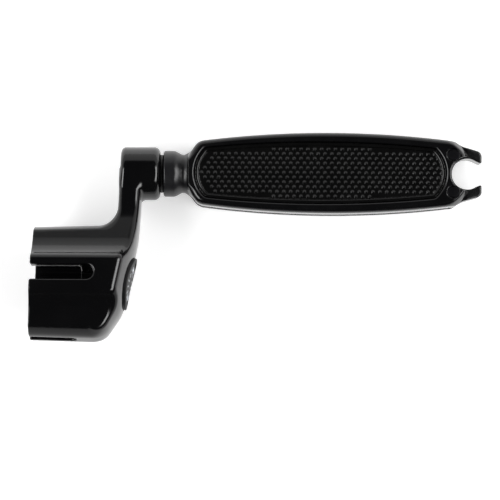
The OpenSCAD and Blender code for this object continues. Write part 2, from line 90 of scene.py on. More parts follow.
print(f"arm {crank_offset:.2f} mm, tipped {math.degrees(rest_tilt):.2f} degrees")
print(f"mouth at {mouth_x:.2f} mm")

# %% [markdown]
# ## Solids as distances
#
# A moulded part has no sharp edge: the mould's cutter leaves a radius everywhere, and on black
# plastic those radii are what shines. A Bevel modifier needs clean edges and struggles where
# three curved faces meet. Here each part is a function instead, which gives the distance from
# any point to its surface, negative inside. Joining and cutting are then small sums, and each
# one can round its edge by a real radius. Where two faces don't meet squarely, `lean` is the
# cosine of the angle between their normals.

# %% Joining, cutting and rounding
def both(a, b, r=0.0, lean=0.0):
    """What two solids share, with the edge between them rounded by r."""
    a, b = a + r, b + r
    corner = (a > lean * b) & (b > lean * a)
    slant = (a * a + b * b - 2 * lean * a * b) / (1 - lean * lean)
    return np.where(corner, np.sqrt(np.maximum(slant, 0)), np.maximum(a, b)) - r


def either(a, b, r=0.0, lean=0.0):
    """Two solids joined, with a fillet of radius r between them."""
    return -both(-a, -b, r, lean)


def without(a, b, r=0.0):
    """The first solid with the second cut out of it, and the cut's edge rounded by r."""
    return both(a, -b, r)


def soft_box(u, v, half_u, half_v, r):
    """A rectangle with round corners."""
    return both(np.abs(u) - half_u, np.abs(v) - half_v, r)


def ease(low, high, t):
    """A smooth step from 0 to 1."""
    t = np.clip((t - low) / (high - low), 0, 1)
    return t * t * (3 - 2 * t)


sharp_corner = float(both(np.array(0.0), np.array(0.0), 2.0))
print("corner of a 2 mm rounding:", round(sharp_corner, 3), "mm outside")

# %% [markdown]
# ## From distances to a mesh
#
# To draw such a solid, it is sampled on a grid. Every grid cell that the surface crosses gets
# one point, and each grid edge that the surface crosses joins the four cells around it with a
# face. That is the surface nets method. The points are then slid onto the exact surface, and
# the direction in which the distance grows becomes the shading normal, so an edge of half a
# millimetre shines as cleanly as a large one.

# %% A net over the surface
def skin(field, low, high, step):
    """Points and four-sided faces on the surface of a distance field."""
    # Two cells are spare on every side, so that the surface never reaches the grid's end.
    axes = [np.arange(a - 2 * step, b + 2.5 * step, step) for a, b in zip(low, high)]
    values = field(*np.meshgrid(*axes, indexing="ij", sparse=True))
    values = np.broadcast_to(values, [len(axis) for axis in axes])
    inside = values < 0
    cells = [n - 1 for n in values.shape]
    corners = [(i, j, k) for i in (0, 1) for j in (0, 1) for k in (0, 1)]
    filled = sum(inside[i:i + cells[0], j:j + cells[1], k:k + cells[2]].astype(int) for i, j, k in corners)
    found = np.argwhere((filled > 0) & (filled < len(corners)))
    total = np.zeros((len(found), 3))
    hits = np.zeros((len(found), 1))
    for start in corners:
        for axis in (a for a in range(3) if start[a] == 0):
            end = tuple(1 if i == axis else c for i, c in enumerate(start))
            here, there = (values[tuple((found + c).T)] for c in (start, end))
            crossed = ((here < 0) != (there < 0))[:, None]
            along = (here / np.where(here == there, 1, here - there))[:, None]
            total += np.where(crossed, start + along * np.subtract(end, start), 0)
            hits += crossed
    points = np.array([axis[0] for axis in axes]) + (found + total / hits) * step
    number = np.full(cells, -1)
    number[tuple(found.T)] = np.arange(len(found))
    faces = []
    for axis in range(3):
        order = (axis, (axis + 1) % 3, (axis + 2) % 3)
        solid = inside.transpose(order)[:, 1:-1, 1:-1]
        cell = number.transpose(order)
        for leaving in (True, False):
            i, j, k = np.nonzero((solid[:-1] == leaving) & (solid[1:] != leaving))
            ring = [cell[i, j, k], cell[i, j + 1, k], cell[i, j + 1, k + 1], cell[i, j, k + 1]]
            faces.append(np.column_stack(ring if leaving else ring[::-1]))
    return points, np.concatenate(faces)


ball_r = 3
ball = skin(lambda x, y, z: np.sqrt(x * x + y * y + z * z) - ball_r, (-ball_r,) * 3, (ball_r,) * 3, 0.5)
print("faces on a ball:", len(ball[1]))

# %% [markdown]
# The next helpers do the whole job for one part: net, slide, place in the frame, normals. Three
# slides are enough to bring every point within a few thousandths of a millimetre. Where the
# distance hardly changes, its slope is kept above a small value, so that nothing is divided by 0.

# %% A moulded part
def slope(field, points, reach=0.02):
    """The direction in which the distance grows, at each point."""
    steps = np.eye(3) * reach
    grows = [field(*(points + d).T) - field(*(points - d).T) for d in steps]
    return np.column_stack(grows) / (2 * reach)


def moulded(name, field, low, high, step, place, finish, slides=3, least_square=0.05, least=0.01):
    """A new object whose mesh is the surface of a distance field."""
    points, faces = skin(field, low, high, step)
    for _ in range(slides):
        grow = slope(field, points)
        square = np.maximum((grow * grow).sum(1), least_square)
        slide = field(*points.T)[:, None] * grow / square[:, None]
        points = points - np.clip(slide, -step / 2, step / 2)
    grow = slope(field, points)
    grow /= np.maximum(np.linalg.norm(grow, axis=1), least)[:, None]
    normals = place(points + grow) - place(points)
    mesh = bpy.data.meshes.new(name)
    mesh.from_pydata(place(points).tolist(), [], faces.tolist())
    mesh.shade_smooth()
    mesh.normals_split_custom_set_from_vertices((normals / MM).tolist())
    mesh.materials.append(finish)
    part = bpy.data.objects.new(name, mesh)
    bpy.context.scene.collection.objects.link(part)
    off = float(np.abs(field(*points.T)).max())
    print(name, "has", 2 * len(faces), "triangles, off the surface by at most", round(off, 4), "mm")
    return part

# %% [markdown]
# ## Finishes
#
# Materials are trees of nodes, and one helper is enough to build them: it adds a node, sets its
# options, and fills each input with a number or a link. A node that is given as an input stands
# for its first output. Colours are written as on a screen and turned to the linear values that
# light needs.

# %% Helpers for node trees and colours
def add(tree, kind, inputs=None, **settings):
    """Add a node with its settings, and fill its inputs with values or links."""
    node = tree.nodes.new(kind)
    for key, value in settings.items():
        setattr(node, key, value)
    for key, value in (inputs or {}).items():
        if isinstance(value, bpy.types.Node):
            value = value.outputs[0]
        if isinstance(value, bpy.types.NodeSocket):
            tree.links.new(value, node.inputs[key])
        else:
            node.inputs[key].default_value = value
    return node


def colour(text):
    """A screen colour such as #808080 as linear red, green, blue and alpha."""
    parts = [int(text[i:i + 2], 16) / 255 for i in (1, 3, 5)]
    return [c / 12.92 if c <= 0.04045 else ((c + 0.055) / 1.055) ** 2.4 for c in parts] + [1]


def new_finish(name):
    """A new material with its tree, its shader, and the place of each point on the object."""
    finish = bpy.data.materials.new(name)
    finish.use_nodes = True
    tree = finish.node_tree
    place = add(tree, "ShaderNodeTexCoord").outputs["Object"]
    return finish, tree, tree.nodes["Principled BSDF"], place


print("middle grey is", round(colour("#808080")[0], 3))

# %% [markdown]
# Moulded plastics and rubber share one recipe: a dark colour with a faint mottle, a roughness
# that drifts across the part, and a fine grain in the bump that the mould's wall has left. What
# differs is how large and deep these are, so they are the function's inputs, in millimetres.
# Noise seldom leaves the middle of its range, so the drift runs between two values there.

# %% The recipe for a moulded polymer
noise_low, noise_high = 0.3, 0.7


def polymer(name, deep, pale, ior, roughness, drift_mm, grain_mm, grain_depth_mm):
    """A moulded plastic or rubber. The colours and roughnesses are the two ends of its drift."""
    finish, tree, shader, place = new_finish(name)
    drift = add(tree, "ShaderNodeTexNoise", {
        "Vector": place, "Scale": 1 / (drift_mm * MM), "Detail": 3.0})
    grain = add(tree, "ShaderNodeTexNoise", {
        "Vector": place, "Scale": 1 / (grain_mm * MM), "Detail": 2.0})
    tint = add(tree, "ShaderNodeValToRGB", {"Fac": drift})
    for stop, position, tone in zip(tint.color_ramp.elements, (noise_low, noise_high), (deep, pale)):
        stop.position = position
        stop.color = colour(tone)
    gloss = add(tree, "ShaderNodeMapRange", {
        "Value": drift, "From Min": noise_low, "From Max": noise_high,
        "To Min": roughness[0], "To Max": roughness[1]})
    bump = add(tree, "ShaderNodeBump", {"Height": grain, "Distance": grain_depth_mm * MM})
    shader.inputs["IOR"].default_value = ior
    tree.links.new(tint.outputs["Color"], shader.inputs["Base Color"])
    tree.links.new(gloss.outputs["Result"], shader.inputs["Roughness"])
    tree.links.new(bump.outputs["Normal"], shader.inputs["Normal"])
    print(name, "IOR", ior, "roughness", roughness, "grain", grain_mm, "mm")
    return finish

# %% [markdown]
# All of these are black, and only their gloss tells them apart. It comes from how each one was
# made, which the comments below give together with what that gives the eye.

# %% Plastics and rubber
# From a polished mould: nearly a mirror, with a very faint orange peel.
crank_abs = polymer("polished black ABS", "#040405", "#060607", 1.53, (0.10, 0.16), 9.0, 1.1, 0.003)
# From a satin mould: its highlights are a little wider.
shell_abs = polymer("satin black ABS", "#050506", "#080809", 1.53, (0.14, 0.20), 7.0, 0.35, 0.004)
# From a bright mould: each stud of the pads carries a small clear highlight.
grip_rubber = polymer("moulded black rubber", "#040404", "#060606", 1.52, (0.12, 0.18), 5.0, 0.3, 0.005)
# Turned on a lathe: waxy, paler than the rest, with wide soft highlights.
bush_acetal = polymer("turned black acetal", "#121214", "#171719", 1.48, (0.28, 0.36), 4.0, 0.4, 0.006)
# Filled with short fibres, which leave a fine grain under the gloss.
fork_nylon = polymer("filled black nylon", "#060607", "#0a0a0b", 1.53, (0.16, 0.22), 3.0, 0.3, 0.006)
# Punched from plain sheet: matt and very dark, so that the washer reads as a gap.
washer_nylon = polymer("plain black nylon", "#030303", "#050505", 1.42, (0.45, 0.55), 3.0, 0.3, 0.006)
# From a spark-eroded mould: matt, with an even grain.
badge_abs = polymer("eroded black ABS", "#060607", "#0a0a0b", 1.53, (0.50, 0.60), 3.0, 0.3, 0.012)

# %% [markdown]
# The metals are a bright zinc plate on the axle, its washer and the screws, a dark spring steel on
# the clip, a black oxide on the fork's pins, and a bright foil on the badge's marks. Fine
# scratches run over such parts. They are too fine to show at this size, so the noise is drawn
# coarser than they are and only moves the roughness.

# %% Metals
def metal(name, tone, roughness, scratch_mm):
    """A plain metal whose roughness is broken up by fine scratches."""
    finish, tree, shader, place = new_finish(name)
    scratch = add(tree, "ShaderNodeTexNoise", {
        "Vector": place, "Scale": 1 / (scratch_mm * MM), "Detail": 6.0})
    gloss = add(tree, "ShaderNodeMapRange", {
        "Value": scratch, "From Min": noise_low, "From Max": noise_high,
        "To Min": roughness[0], "To Max": roughness[1]})
    shader.inputs["Base Color"].default_value = colour(tone)
    shader.inputs["Metallic"].default_value = 1.0
    tree.links.new(gloss.outputs["Result"], shader.inputs["Roughness"])
    print(name, tone, "roughness", roughness)
    return finish


zinc_steel = metal("zinc plated steel", "#b9bcc0", (0.22, 0.36), 0.5)
spring_steel = metal("oiled spring steel", "#4a4a4d", (0.28, 0.42), 0.6)
pin_steel = metal("black oxide steel", "#1e1e20", (0.40, 0.55), 0.5)
badge_foil = metal("stamped bright foil", "#b4b6ba", (0.22, 0.34), 0.4)

# %% [markdown]
# ## The crank
#
# On the real winder the peg head, the arm and the hub are one moulding. The head is a flat body
# with round sides and a raised panel above and below, joined to it by a wide cove. Its back is
# domed and leans forward, and the arm rises from it to the hub. In plan the back is a slanted
# line that turns into a large round corner below and into the arm's slant above.

# %% The back of the crank in plan
back_x = -8.9
back_slant = math.radians(11.5)
arm_slant = math.radians(2.9)
knee, knee_blend = 13.5, 0.6
heel_x, heel_v = -12.25, -11.0
heel_slant = math.radians(33)
heel_r = 12.0


def slanted(x, v, through_x, through_v, slant):
    """Distance to the right of a line that leans by a slant."""
    return (x - through_x) * math.cos(slant) - (v - through_v) * math.sin(slant)


def back_plan(x, v):
    """Distance outside the back's outline, where v runs across the head."""
    back = slanted(x, v, back_x, 0, back_slant)
    heel = slanted(x, v, heel_x, heel_v, heel_slant)
    head = both(back, heel, heel_r, math.cos(heel_slant - back_slant))
    arm = slanted(x, v, back_x + knee * math.tan(back_slant), knee, arm_slant)
    share = np.clip(0.5 - 0.5 * (head - arm) / knee_blend, 0, 1)
    return head + (arm - head) * share + knee_blend * share * (1 - share)


print("back at the badge:", round(float(back_plan(np.array(back_x), np.array(0.0))), 3), "mm")

# %% [markdown]
# The body is built up in the order a mould maker would cut it: a flat body with crowned sides and
# sloping shoulders, the arm, the panels with their wide coves, the domed back, the hub. The lower
# side and the back are one outline with a round corner, so they share one crown that is tight on
# the side and wide on the back.

# %% Sizes of the crank's body
head_half_w, foot_half_w = 16.6, 16.55
side_taper = math.radians(1.6)
side_flat, side_crown_r = 2.0, 10.2
shoulder_z, shoulder_v = 8.8, 13.0
shoulder_slope = math.radians(14.6)
side_edge_r, side_edge_lean = 1.8, math.cos(math.radians(36))
corner_r, corner_blend = 7.0, 3.0
dome_r = 40.0
back_edge_r, back_edge_lean = 2.3, 0.3
arm_face_x = -11.95
arm_lean = math.radians(1.96)
arm_z, arm_foot_r = 6.6, 25.0
arm_fillet_r = 5.6
arm_edge_r = 1.5
panel_half, panel_z = 4.5, 14.5
panel_edge_r, panel_edge_lean = 2.4, math.cos(math.radians(62))
cove_r = 10.0
hub_r, hub_l, hub_edge_r, hub_fillet_r = 8.0, 11.8, 1.9, 1.2
print("head", head_half_w + foot_half_w, "mm wide and", 2 * panel_z, "mm tall, hub", 2 * hub_r, "mm")

# %% The crank's body
def crowned(outline, tall, flat, r, most=0.8):
    """An outline whose sides lean in with height, round at first and straight once they lean enough."""
    up = np.maximum(tall - flat, 0)
    lean = np.minimum(up / r, most)
    upright = np.sqrt(1 - lean * lean)
    return (outline + r * (1 - upright)) * upright + (up - lean * r) * lean


def crank_body(x, y, z):
    v, tall = y + crank_offset, np.abs(z)
    widening = (x - mouth_x) * math.tan(side_taper)
    upper_side = crowned(v - head_half_w - widening, tall, side_flat, side_crown_r)
    arm = both((arm_face_x + y * math.tan(arm_lean) - x) * math.cos(arm_lean), y)
    walls = either(upper_side, arm, arm_fillet_r)
    shoulder = (tall - shoulder_z) * math.cos(shoulder_slope)
    shoulder = shoulder + (np.abs(v) - shoulder_v) * math.sin(shoulder_slope)
    top = either(shoulder, tall - arm_z, arm_foot_r, math.cos(shoulder_slope))
    near_head = ease(0, arm_fillet_r, arm)
    edge_r = arm_edge_r + (side_edge_r - arm_edge_r) * near_head
    body = both(walls, top, edge_r, side_edge_lean * near_head)
    body = either(body, np.abs(v) - panel_half, cove_r, math.sin(shoulder_slope))
    body = both(body, tall - panel_z, panel_edge_r, panel_edge_lean)
    back, foot = back_plan(x, v), -v - foot_half_w - widening
    round_back = ease(-corner_blend, corner_blend, back - foot)
    outline = both(back, foot, corner_r, math.sin(heel_slant))
    crown_r = side_crown_r + (dome_r - side_crown_r) * round_back
    rim = crowned(outline, tall, side_flat * (1 - round_back), crown_r)
    edge_r = side_edge_r + (back_edge_r - side_edge_r) * round_back
    edge_lean = side_edge_lean + (back_edge_lean - side_edge_lean) * round_back
    body = both(body, rim, edge_r, edge_lean)
    hub = both(both(np.hypot(y, z) - hub_r, -hub_l - x, arm_edge_r), x, hub_edge_r)
    return either(body, hub, hub_fillet_r)


middle_of_hub = (np.array(-hub_l / 2), np.array(0.0), np.array(0.0))
print("the hub's middle is", round(-float(crank_body(*middle_of_hub)), 2), "mm deep")

# %% [markdown]
# The head is hollow where it goes over the peg: a wide flat socket for the peg's button, a tall
# narrow one between the panels, and a step between these two. Slots open the panels and the
# sides, and the panels' slots lie slightly off the middle. Their rims are rounded, which gives
# them the bright outline seen from above.

# %% The crank's cuts
mouth_slant = math.radians(2)
mouth_edge_r, bore_edge_r = 0.35, 0.1
socket_depth, socket_end_r = 14.7, 0.4
# Half width, half height and corner radius of the three parts of the socket.
socket_boxes = ((13.5, 5.2, 3.0), (7.0, 7.8, 2.0), (3.5, 12.2, 0.3))
slot_half, slot_v, slot_l, slot_rim_r = 2.2, 0.4, 18.8, 0.6
slot_floor_z, slot_floor_r = 4.0, 0.3
side_slot_half, side_slot_l, side_slot_rim_r = 1.7, 13.4, 0.5
badge_r, badge_seat, badge_gap, badge_seat_rim_r = 7.85, 1.5, 0.05, 0.2
axle_r, axle_grip, axle_rim_r = 2.5, 9.5, 0.2


def on_back(x, y, z):
    """Height above the domed back at the badge, and the way along it."""
    x, v = x - back_x, y + crank_offset
    c, s = math.cos(back_slant), math.sin(back_slant)
    return np.hypot(x * c - v * s + dome_r, z) - dome_r, x * s + v * c


def crank_field(x, y, z):
    v = y + crank_offset
    depth = (x - mouth_x) * math.cos(mouth_slant) - v * math.sin(mouth_slant)
    body = both(crank_body(x, y, z), -depth, mouth_edge_r)
    slot = np.hypot(np.maximum(x - mouth_x - slot_l + slot_half, 0), v - slot_v) - slot_half
    body = without(body, both(slot, slot_floor_z - np.abs(z), slot_floor_r), slot_rim_r)
    side_slot = np.hypot(np.maximum(x - mouth_x - side_slot_l + side_slot_half, 0), z) - side_slot_half
    body = without(body, side_slot, side_slot_rim_r)
    bore = np.minimum.reduce([soft_box(v, z, *box) for box in socket_boxes])
    body = without(body, both(bore, x - mouth_x - socket_depth, socket_end_r), bore_edge_r)
    rise, along = on_back(x, y, z)
    seat = both(np.hypot(along, z) - badge_r - badge_gap, -badge_seat - badge_gap - rise)
    body = without(body, seat, badge_seat_rim_r)
    return without(body, both(np.hypot(y, z) - axle_r, -axle_grip - x), axle_rim_r)


crank_low, crank_high, crank_step = (-38.6, -51, -14.6), (0, 8.1, 14.6), 0.36
crank = moulded("crank_moulding", crank_field, crank_low, crank_high, crank_step, crank_place, crank_abs)
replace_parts(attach(crank, "crank"), "crank")

# %% [markdown]
# ## The head badge
#
# A round disc is pressed into a seat on the head's back. It has a raised rim and a sunken face,
# which stays free of any lettering.

# %% The badge's disc
badge_top, badge_edge_r = 0.7, 0.25
badge_rim_w = 1.2
badge_dish, dish_edge_r = 0.4, 0.2


def badge_field(x, y, z):
    rise, along = on_back(x, y, z)
    wide = np.hypot(along, z)
    middle, half = (badge_top - badge_seat) / 2, (badge_top + badge_seat) / 2
    disc = both(wide - badge_r, np.abs(rise - middle) - half, badge_edge_r)
    dish = both(wide - badge_r + badge_rim_w, badge_top - badge_dish - rise)
    return without(disc, dish, dish_edge_r)


badge_low, badge_high, badge_step = (-12.3, -42.2, -7.9), (-5.2, -26.0, 7.9), 0.2
badge = moulded("badge_disc", badge_field, badge_low, badge_high, badge_step, crank_place, badge_abs)
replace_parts(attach(badge, "crank"), "head_badge")

# %% [markdown]
# A plain ring of short raised marks, stamped with bright foil, decorates the sunken face. They
# repeat around a circle, so a small Geometry Nodes tree makes them: points on the circle, one
# mark on each, turned to face outwards. The tree is finished into a plain mesh before it goes on
# the badge, because instances and modifiers don't travel with an exported model.

# %% Helpers for trees of Geometry Nodes
def new_tree(name, inputs):
    """An empty tree with a geometry output, and the sockets of its inputs."""
    tree = bpy.data.node_groups.new(name, "GeometryNodeTree")
    for label, kind in inputs.items():
        tree.interface.new_socket(label, in_out="INPUT", socket_type="NodeSocket" + kind)
    tree.interface.new_socket("Geometry", in_out="OUTPUT", socket_type="NodeSocketGeometry")
    return tree, add(tree, "NodeGroupInput").outputs


def grown(name, tree, values):
    """An object whose mesh is what the tree makes with these values."""
    part = bpy.data.objects.new(name, bpy.data.meshes.new(name))
    bpy.context.scene.collection.objects.link(part)
    modifier = part.modifiers.new(name, "NODES")
    modifier.node_group = tree
    for socket in tree.interface.items_tree:
        if socket.in_out == "INPUT":
            modifier[socket.identifier] = values[socket.name]
    evaluated = part.evaluated_get(bpy.context.evaluated_depsgraph_get())
    part.data = bpy.data.meshes.new_from_object(evaluated)
    part.modifiers.clear()
    print(name, "has", len(part.data.polygons), "faces")
    return part

# %% The badge's marks
tree, given = new_tree("ring_of_marks", {
    "Marks": "Int", "Ring radius": "Float", "Mark length": "Float", "Mark width": "Float",
    "Mark height": "Float", "Finish": "Material"})
index = add(tree, "GeometryNodeInputIndex")
turn = add(tree, "ShaderNodeMath", {0: math.tau, 1: given["Marks"]}, operation="DIVIDE")
turn = add(tree, "ShaderNodeMath", {0: turn, 1: index}, operation="MULTIPLY")
spin = add(tree, "ShaderNodeCombineXYZ", {"Z": turn})
start = add(tree, "ShaderNodeCombineXYZ", {"X": given["Ring radius"]})
place = add(tree, "ShaderNodeVectorRotate", {"Vector": start, "Angle": turn}, rotation_type="Z_AXIS")
points = add(tree, "GeometryNodePoints", {"Count": given["Marks"], "Position": place})
mark = add(tree, "GeometryNodeMeshUVSphere", {"Segments": 10, "Rings": 6, "Radius": 0.5})
size = add(tree, "ShaderNodeCombineXYZ", {
    "X": given["Mark length"], "Y": given["Mark width"], "Z": given["Mark height"]})
marks = add(tree, "GeometryNodeInstanceOnPoints", {
    "Points": points, "Instance": mark, "Rotation": spin, "Scale": size})
marks = add(tree, "GeometryNodeRealizeInstances", {"Geometry": marks})
marks = add(tree, "GeometryNodeSetShadeSmooth", {"Geometry": marks})
marks = add(tree, "GeometryNodeSetMaterial", {"Geometry": marks, "Material": given["Finish"]})
add(tree, "NodeGroupOutput", {"Geometry": marks})

badge_marks = grown("badge_marks", tree, {
    "Marks": 16, "Ring radius": 4.4, "Mark length": 2.0, "Mark width": 0.5, "Mark height": 0.4,
    "Finish": badge_foil})

# %% [markdown]
# The tree worked flat, around the origin. Its points are now turned onto the back's face and put
# at the height of the sunken face, in the mesh itself.

# %% The marks go on the badge
flat = np.array([vertex.co for vertex in badge_marks.data.vertices])
out = np.array((math.cos(back_slant), -math.sin(back_slant), 0))
along = np.array((math.sin(back_slant), math.cos(back_slant), 0))
face = np.array((back_x, -crank_offset, 0)) + (badge_top - badge_dish) * out
flat[:, 2] -= dome_r - np.sqrt(dome_r ** 2 - flat[:, 1] ** 2)
turned = face + flat[:, :1] * along + flat[:, 1:2] * (0, 0, 1) + flat[:, 2:] * out
badge_marks.data.vertices.foreach_set("co", crank_place(turned).ravel())
badge_marks.data.update()
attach(badge_marks, "crank")
print("marks on the badge:", len(flat), "points")

# %% [markdown]
# ## The swivel
#
# Between the hub and the handle sit a thin nylon washer and the bush: a round collar with a waist,
# which flares a little where it meets the handle. The bush is fixed in the handle and turns on the
# axle. Both are round about the axle, so their fields only look at the distance from it.

# %% Washer and bush
washer_r, washer_t, washer_bore_r, washer_edge_r = 5.7, 0.85, 2.55, 0.2
collar_x, collar_r, collar_edge_r = 0.95, 6.9, 0.6
shoulder_x, waist_x, waist_r = 3.9, 7.2, 5.65
flare_x, handle_x, neck_end_r = 6.4, 8.4, 6.45
bush_r, bush_end_x, bush_end_edge_r = 4.8, 16.2, 0.3
bush_bore_r, bush_bore_rim_r = 2.55, 0.2
flange_r, flange_x, flange_t, flange_edge_r = 6.2, 11.0, 2.0, 0.2


def washer_field(x, y, z):
    middle, half = (washer_r + washer_bore_r) / 2, (washer_r - washer_bore_r) / 2
    ring = np.abs(np.hypot(y, z) - middle) - half
    return both(ring, np.abs(x - washer_t / 2) - washer_t / 2, washer_edge_r)


def bush_field(x, y, z):
    r = np.hypot(y, z)
    neck_r = collar_r + (waist_r - collar_r) * ease(shoulder_x, waist_x, x)
    flare = np.maximum(x - flare_x, 0) / (handle_x - flare_x)
    neck_r = neck_r + (neck_end_r - waist_r) * flare ** 2
    body = both(both(r - neck_r, collar_x - x, collar_edge_r), x - handle_x)
    sleeve = both(both(r - bush_r, collar_x - x), x - bush_end_x, bush_end_edge_r)
    flange = both(r - flange_r, np.abs(x - flange_x - flange_t / 2) - flange_t / 2, flange_edge_r)
    body = np.minimum(np.minimum(body, sleeve), flange)
    return without(body, r - bush_bore_r, bush_bore_rim_r)


washer_low, washer_high, washer_step = (0, -5.8, -5.8), (0.85, 5.8, 5.8), 0.16
washer = moulded("washer_ring", washer_field, washer_low, washer_high, washer_step, crank_place, washer_nylon)
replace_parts(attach(washer, "crank"), "thrust_washer")
bush_low, bush_high, bush_step = (0.9, -7, -7), (16.3, 7, 7), 0.22
bush = moulded("bush_turning", bush_field, bush_low, bush_high, bush_step, handle_place, bush_acetal)
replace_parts(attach(bush, "handle"), "swivel_bush")

# %% [markdown]
# ## The handle's outline
#
# Seen from above, the handle is a barrel: two long bowed sides, a flat arc in front, a rounder one
# behind, and rounded corners between them. The shells, the pads' recesses, the pads and the fork
# all follow such an outline, so it is written once and called with different sizes.

# %% The barrel
handle_sizes = {
    "start": 7.4, "stop": 93.5, "half_w": 12.2, "half_end": 9.05,
    "front_r": 13.0, "front_corner_r": 4.0, "rear_r": 11.7, "rear_corner_r": 2.0}
pad_sizes = {
    "start": 10.25, "stop": 85.25, "half_w": 9.2, "half_end": 7.1,
    "front_r": 10.0, "front_corner_r": 2.0, "rear_r": 10.0, "rear_corner_r": 2.0}


def round_end(past, y, r):
    """Distance outside a round end, past its centre. Before the centre it soon lies well inside."""
    return np.hypot(np.maximum(past, 0), y) - r + np.minimum(past, 0) / 3


def barrel(x, y, start, stop, half_w, half_end, front_r, front_corner_r, rear_r, rear_corner_r):
    """Distance outside a barrel-shaped outline."""
    half_l, bulge = (stop - start) / 2, half_w - half_end
    bow_r = (half_l ** 2 + bulge ** 2) / (2 * bulge)
    side = np.hypot(x - start - half_l, np.abs(y) + bow_r - half_w) - bow_r
    front = np.hypot(np.minimum(x - start - front_r, 0), y) - front_r
    rear = round_end(x - stop + rear_r, y, rear_r)
    side_turn = math.asin(half_l / bow_r)
    front_lean = math.sin(side_turn + math.asin(half_end / front_r))
    rear_lean = math.sin(side_turn + math.asin(half_end / rear_r))
    return both(both(side, front, front_corner_r, front_lean), rear, rear_corner_r, rear_lean)


def handle_plan(x, y):
    return barrel(x, y, **handle_sizes)


def pad_plan(x, y):
    return barrel(x, y, **pad_sizes)


middle_x = (handle_sizes["start"] + handle_sizes["stop"]) / 2
print("handle half width:", round(float(-handle_plan(np.array(middle_x), np.array(0.0))), 2), "mm")

# %% [markdown]
# ## The shells
#
# The handle is two shells screwed together along a side seam. Each has a recess for its pad, a
# seat for the fork behind, and a hollow with three screw bosses inside. The top edge is sharp in
# the middle of the front and rounds out towards the corners. The lower shell stands a fifth of a
# millimetre proud at the seam, and both seam edges are rounded a little, which gives the thin
# line along the side.

# %% Seats and hollow of a shell
half_t, wall_t = 8.25, 2.8
pad_floor_z = 6.25
room_z, room_half_l = 4.65, 31.275
notch_x, notch_r = 91.75, 4.6
pin_x, pin_y, pin_r = 87.35, 5.55, 1.8
fork_z, fork_shoulder_x, fork_tail_x, fork_tail_half = 5.0, 86.35, 80.35, 6.5
seat_gap, seat_edge_r = 0.05, 0.2
screw_xs = (26.4, 46.675, 66.95)
boss_r = 3.7


def shell_inside(x, y, z):
    """All that is hollow inside the shells."""
    room = both(handle_plan(x, y) + wall_t, z - room_z)
    room = both(room, np.abs(x - screw_xs[1]) - room_half_l)
    for screw_x in screw_xs:
        room = without(room, np.hypot(x - screw_x, y) - boss_r)
    r = np.hypot(y, z)
    bush_seat = both(r - bush_r - seat_gap, x - bush_end_x)
    flange_half = np.abs(x - flange_x - flange_t / 2) - flange_t / 2
    flange_seat = both(r - flange_r - seat_gap, flange_half - seat_gap)
    return np.minimum(room, np.minimum(bush_seat, flange_seat))


def fork_room(x, y, z):
    """The fork's seat between the shells."""
    tail = both(np.abs(y) - fork_tail_half - seat_gap, fork_tail_x - seat_gap - x)
    return both(np.minimum(tail, fork_shoulder_x - seat_gap - x), z - fork_z - seat_gap)


print("bosses at", screw_xs)

# %% One half of the handle
shell_edge_r, front_edge_r = 2.0, 0.1
front_sharp_y, front_round_y = 2.0, 6.0
shell_draft = 0.2
seam_gap, seam_r, seam_step = 0.03, 0.4, 0.2
recess_edge_r, recess_floor_r = 0.8, 0.2
end_x, end_r, end_slant, end_edge_r = 81.8, 11.7, math.radians(25), 0.4
end_notch_r, end_notch_rim_r = 5.1, 0.4
face_edge_r = 0.05
stub_x, stub_r, stub_edge_r, stub_fillet_r = 8.4, 6.1, 0.3, 1.5


def half_shell(x, y, z, step=0.0):
    edge_r = front_edge_r + (shell_edge_r - front_edge_r) * ease(front_sharp_y, front_round_y, np.abs(y))
    body = both(handle_plan(x, y) - step + shell_draft * z / half_t, z - half_t, edge_r)
    end = round_end(x - end_x, y, end_r) + (z - fork_z) * math.tan(end_slant)
    body = both(body, end * math.cos(end_slant), end_edge_r)
    stub = both(np.hypot(y, z) - stub_r, stub_x - x, stub_edge_r)
    body = either(both(body, handle_x - x, face_edge_r), both(stub, x - flange_x), stub_fillet_r)
    body = both(body, seam_gap - z, seam_r)
    body = without(body, both(pad_plan(x, y), pad_floor_z - z, recess_floor_r), recess_edge_r)
    body = without(body, shell_inside(x, y, z))
    body = without(body, fork_room(x, y, z), seat_edge_r)
    body = without(body, np.hypot(x - notch_x, y) - end_notch_r, end_notch_rim_r)
    return without(body, np.hypot(x - pin_x, np.abs(y) - pin_y) - pin_r - seat_gap, seat_edge_r)


print("seam", 2 * seam_gap, "mm wide, step", seam_step, "mm")

# %% The two shells
pilot_r, pilot_z = 1.3, 3.6
shank_r = 1.35
screw_head_r, screw_head_z = 2.5, 4.4


def upper_shell_field(x, y, z):
    body = half_shell(x, y, z)
    for screw_x in screw_xs:
        body = without(body, both(np.hypot(x - screw_x, y) - pilot_r, z - pilot_z))
    return body


def lower_shell_field(x, y, z):
    body = half_shell(x, y, z, seam_step)
    for screw_x in screw_xs:
        r = np.hypot(x - screw_x, y)
        body = without(body, np.minimum(r - shank_r, both(r - screw_head_r, screw_head_z - z)))
    return body


def turned_over(points):
    """The lower half of the handle is the upper half turned about the axle."""
    return handle_place(np.asarray(points) * (1, -1, -1))


shell_low, shell_high, shell_step = (8.3, -12.5, 0), (93.8, 12.5, 8.3), 0.34
upper_shell = moulded("upper_shell_moulding", upper_shell_field, shell_low, shell_high, shell_step,
                      handle_place, shell_abs)
lower_shell = moulded("lower_shell_moulding", lower_shell_field, shell_low, shell_high, shell_step,
                      turned_over, shell_abs)
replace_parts(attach(upper_shell, "handle"), "upper_shell")
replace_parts(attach(lower_shell, "handle"), "lower_shell")

# %% [markdown]
# ## The grip pads
#
# A rubber pad lies in each recess, a little below the shell's face. It has a plain rim around a
# lower field of small studs.

# %% The pads
pad_edge_r = 0.1
rim_z, rim_w, rim_edge_r = 7.65, 1.2, 0.5
field_z = 7.25


